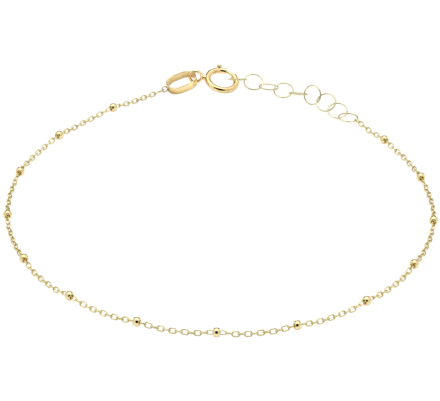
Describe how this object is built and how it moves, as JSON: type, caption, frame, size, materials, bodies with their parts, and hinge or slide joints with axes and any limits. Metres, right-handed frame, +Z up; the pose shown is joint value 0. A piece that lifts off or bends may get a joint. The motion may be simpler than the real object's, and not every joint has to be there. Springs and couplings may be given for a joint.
{
  "type": "bracelet",
  "caption": "Fine gold chain bracelet strung with small round beads, closed by a spring-ring clasp, an oval strip link and an extender of round rings.",
  "frame": {"origin": "middle of the bracelet's footprint, on the surface it lies on", "axes": "+Z up out of the surface and through the wrist loop, +Y towards the clasp, +X towards the extender's chain end"},
  "size_m": [0.062, 0.0658, 0.0029],
  "materials": {
    "pale_gold": "polished pale gold alloy",
    "tube_gold": "polished gold alloy, a little deeper in colour"
  },
  "bodies": {
    "bracelet": {"bead_01": "pale_gold", "bead_02": "pale_gold", "bead_03": "pale_gold", "bead_04": "pale_gold", "bead_05": "pale_gold", "bead_06": "pale_gold", "bead_07": "pale_gold", "bead_08": "pale_gold", "bead_09": "pale_gold", "bead_10": "pale_gold", "bead_11": "pale_gold", "bead_12": "pale_gold", "bead_13": "pale_gold", "bead_14": "pale_gold", "chain": "pale_gold", "chain_first_link": "pale_gold", "chain_last_link": "pale_gold", "clasp_ring": "tube_gold", "extender_ring_1": "pale_gold", "extender_ring_2": "pale_gold", "extender_ring_3": "pale_gold", "extender_ring_4": "pale_gold", "extender_ring_5": "pale_gold", "extender_ring_6": "pale_gold", "extender_ring_7": "pale_gold", "extender_ring_8": "pale_gold", "extender_ring_9": "pale_gold", "strip_link": "tube_gold"},
    "bolt": {"clasp_bolt": "tube_gold"}
  },
  "joints": [
    {"name": "clasp_bolt_turn", "type": "hinge", "parent": "bracelet", "child": "bolt", "pos_m": [0.00028, 0.02999, 0.00103], "axis": [0.1798, -0.1619, 0.9703], "range_deg": [0, 47], "stiffness_Nm_per_rad": 0.0002}
  ]
}
